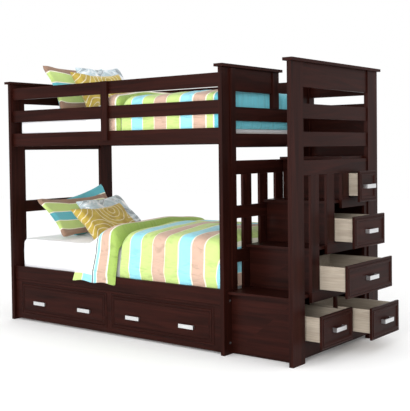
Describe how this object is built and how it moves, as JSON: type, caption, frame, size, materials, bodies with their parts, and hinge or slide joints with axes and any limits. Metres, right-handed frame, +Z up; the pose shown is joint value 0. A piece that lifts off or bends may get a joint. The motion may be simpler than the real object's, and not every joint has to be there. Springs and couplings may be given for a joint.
{
  "type": "bunk bed with drawer staircase",
  "caption": "Twin over twin bunk bed in dark stained wood, with a staircase of drawers at one end, guard rails, a rolling trundle drawer and made-up bedding.",
  "frame": {"origin": "on the floor, under the centre of the bounding box with the drawers as modelled", "axes": "+X along the bed from the head end to the stair end, +Y from the open front to the wall side, +Z up"},
  "size_m": [2.751, 1.096, 1.8907],
  "materials": {
    "stained_wood": "dark espresso stain under satin lacquer",
    "drawer_wood": "clear sealed light birch",
    "slat_wood": "bare planed pine",
    "handle_metal": "brushed nickel",
    "hardware_metal": "zinc plated",
    "wheel_rubber": "matt",
    "sheet_fabric": "plain white cotton",
    "comforter_fabric": "striped quilted cotton",
    "pillow_fabric": "printed cotton"
  },
  "bodies": {
    "bed": {"posts": "stained_wood", "entry_post": "stained_wood", "end_caps": "stained_wood", "middle_caps": "stained_wood", "end_panels": "stained_wood", "middle_panel": "stained_wood", "head_rails": "stained_wood", "middle_rails": "stained_wood", "outer_rails": "stained_wood", "middle_slats": "stained_wood", "outer_slats": "stained_wood", "stair_face_rails": "stained_wood", "stair_face_stiles": "stained_wood", "side_rails": "stained_wood", "guard_rails": "stained_wood", "guard_battens": "stained_wood", "slat_ledgers": "stained_wood", "upper_bed_slats": "slat_wood", "lower_bed_slats": "slat_wood", "stair_rear_rails": "stained_wood", "stair_battens": "stained_wood", "stair_treads": "stained_wood", "stair_landing": "stained_wood", "stair_risers": "stained_wood", "stair_side_panels": "stained_wood", "stair_back_panel": "stained_wood", "drawer_runners": "drawer_wood", "frame_bolts": "hardware_metal", "upper_mattress": "sheet_fabric", "lower_mattress": "sheet_fabric", "upper_comforter": "comforter_fabric", "lower_comforter": "comforter_fabric", "upper_pillows": "pillow_fabric", "lower_pillows": "pillow_fabric"},
    "drawer_1": {"drawer_box_1": "drawer_wood", "drawer_front_1": "stained_wood", "drawer_handle_1": "handle_metal"},
    "drawer_2": {"drawer_box_2": "drawer_wood", "drawer_front_2": "stained_wood", "drawer_handle_2": "handle_metal"},
    "drawer_3": {"drawer_box_3": "drawer_wood", "drawer_front_3": "stained_wood", "drawer_handle_3": "handle_metal"},
    "drawer_4": {"drawer_box_4": "drawer_wood", "drawer_front_4": "stained_wood", "drawer_handle_4": "handle_metal"},
    "drawer_5": {"drawer_box_5": "drawer_wood", "drawer_front_5": "stained_wood", "drawer_handle_5": "handle_metal"},
    "trundle": {"trundle_front": "stained_wood", "trundle_panels": "stained_wood", "trundle_frame": "stained_wood", "trundle_slats": "slat_wood", "trundle_handles": "handle_metal", "trundle_casters": "hardware_metal"},
    "wheel_1": {"trundle_wheel_1": "wheel_rubber"},
    "wheel_2": {"trundle_wheel_2": "wheel_rubber"},
    "wheel_3": {"trundle_wheel_3": "wheel_rubber"},
    "wheel_4": {"trundle_wheel_4": "wheel_rubber"}
  },
  "joints": [
    {"name": "drawer_1_slide", "type": "slide", "parent": "bed", "child": "drawer_1", "axis": [1, 0, 0], "range_m": [-0.1, 0.22]},
    {"name": "drawer_2_slide", "type": "slide", "parent": "bed", "child": "drawer_2", "axis": [1, 0, 0], "range_m": [-0.22, 0.1]},
    {"name": "drawer_3_slide", "type": "slide", "parent": "bed", "child": "drawer_3", "axis": [1, 0, 0], "range_m": [-0.175, 0.145]},
    {"name": "drawer_4_slide", "type": "slide", "parent": "bed", "child": "drawer_4", "axis": [1, 0, 0], "range_m": [-0.125, 0.195]},
    {"name": "drawer_5_slide", "type": "slide", "parent": "bed", "child": "drawer_5", "axis": [1, 0, 0], "range_m": [-0.065, 0.255]},
    {"name": "trundle_slide", "type": "slide", "parent": "bed", "child": "trundle", "axis": [0, -1, 0], "range_m": [0, 0.85]},
    {"name": "wheel_1_roll", "type": "hinge", "parent": "trundle", "child": "wheel_1", "pos_m": [-1.0975, -0.458, 0.025], "axis": [1, 0, 0], "continuous": true},
    {"name": "wheel_2_roll", "type": "hinge", "parent": "trundle", "child": "wheel_2", "pos_m": [0.3705, -0.458, 0.025], "axis": [1, 0, 0], "continuous": true},
    {"name": "wheel_3_roll", "type": "hinge", "parent": "trundle", "child": "wheel_3", "pos_m": [-1.0975, 0.388, 0.025], "axis": [1, 0, 0], "continuous": true},
    {"name": "wheel_4_roll", "type": "hinge", "parent": "trundle", "child": "wheel_4", "pos_m": [0.3705, 0.388, 0.025], "axis": [1, 0, 0], "continuous": true}
  ],
  "couplings": [
    {"joint": "wheel_1_roll", "follows": "trundle_slide", "rad_per_m": 40},
    {"joint": "wheel_2_roll", "follows": "trundle_slide", "rad_per_m": 40},
    {"joint": "wheel_3_roll", "follows": "trundle_slide", "rad_per_m": 40},
    {"joint": "wheel_4_roll", "follows": "trundle_slide", "rad_per_m": 40}
  ]
}
